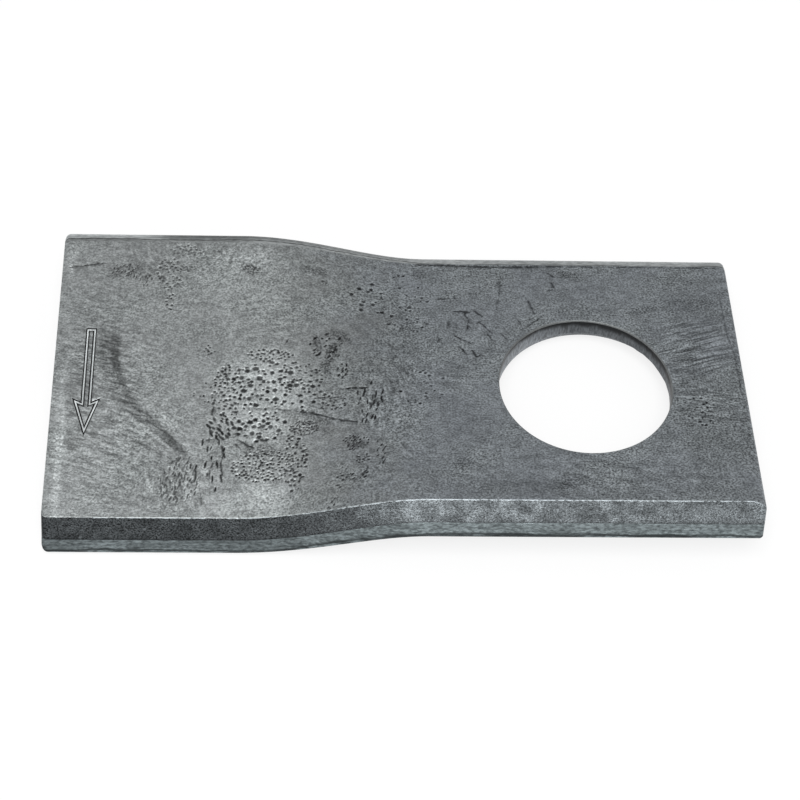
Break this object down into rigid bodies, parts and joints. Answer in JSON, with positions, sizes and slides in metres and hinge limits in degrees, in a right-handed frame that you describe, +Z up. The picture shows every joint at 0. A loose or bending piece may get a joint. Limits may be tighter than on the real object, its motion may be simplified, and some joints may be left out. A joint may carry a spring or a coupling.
{
  "type": "rotary mower blade",
  "caption": "Flat steel mower blade with a punched round mounting hole, a lengthwise twist to its cutting end, ground long edges and a stamped direction arrow.",
  "frame": {"origin": "middle of the punched mounting hole, half way through the bar's thickness", "axes": "+X along the bar towards its mounting end, +Y across it away from the leading edge, +Z up out of the face with the arrow along the hole's axis"},
  "size_m": [0.1, 0.05, 0.0146],
  "materials": {
    "blade_steel": "bare hot-rolled and hardened steel, dull grey with pits, scale stains and bright worn edges"
  },
  "bodies": {
    "root": {"blade": "blade_steel"}
  },
  "joints": []
}
